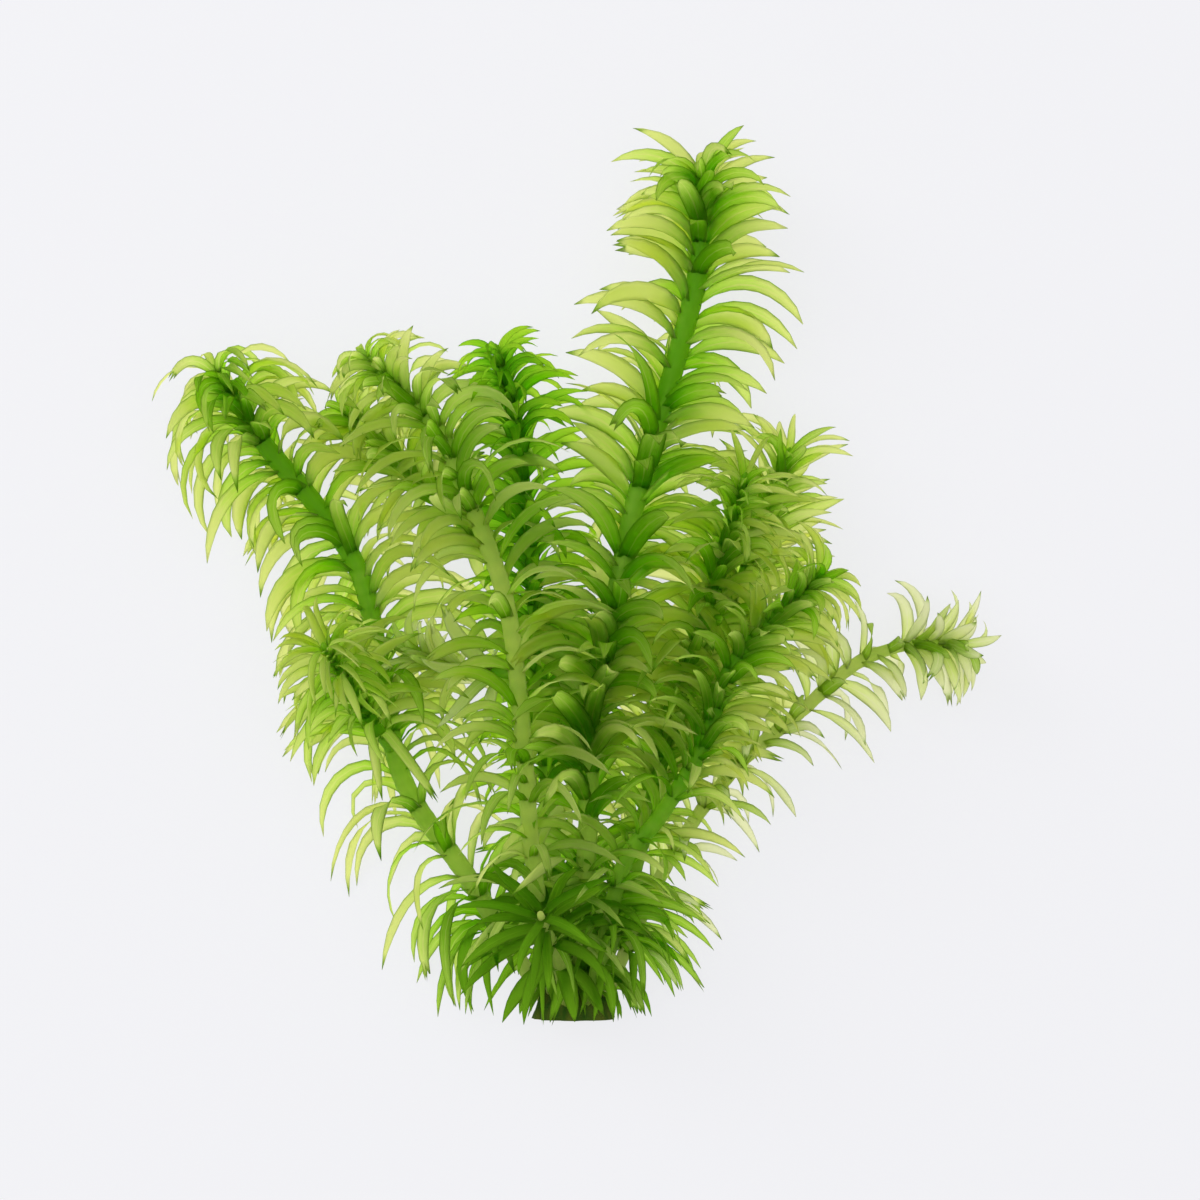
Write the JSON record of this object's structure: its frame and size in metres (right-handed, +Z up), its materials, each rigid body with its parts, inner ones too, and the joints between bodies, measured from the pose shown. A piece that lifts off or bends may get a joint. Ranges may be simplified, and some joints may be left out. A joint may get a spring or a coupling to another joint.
{
  "type": "brazilian waterweed",
  "caption": "Bushy submerged waterweed plant lying on its side, leafy shoots with whorls of strap leaves forking from one root crown.",
  "frame": {"origin": "centre of the plant's outline on the surface it lies on", "axes": "+Z up from the surface, +Y along the plant from its root crown towards the tips, +X to the right as the camera looks down"},
  "size_m": [0.157, 0.1634, 0.0414],
  "materials": {
    "old_stem": "damp, dull olive-green plant tissue",
    "leaf_green": "thin translucent leaf, soft sheen",
    "leaf_light_green": "thin translucent leaf, soft sheen",
    "leaf_dark_green": "thin translucent leaf, soft sheen",
    "leaf_pale_green": "thin translucent leaf, soft sheen"
  },
  "bodies": {
    "root": {"root_crown": "old_stem", "tall_shoot": "leaf_green", "left_shoot": "leaf_green", "middle_left_shoot": "leaf_light_green", "middle_shoot": "leaf_dark_green", "right_shoot": "leaf_green", "right_back_shoot": "leaf_light_green", "right_front_shoot": "leaf_green", "far_right_shoot": "leaf_pale_green", "front_shoot": "leaf_dark_green", "left_side_shoot": "leaf_green", "middle_left_side_shoot": "leaf_light_green", "middle_side_shoot": "leaf_pale_green"}
  },
  "joints": []
}
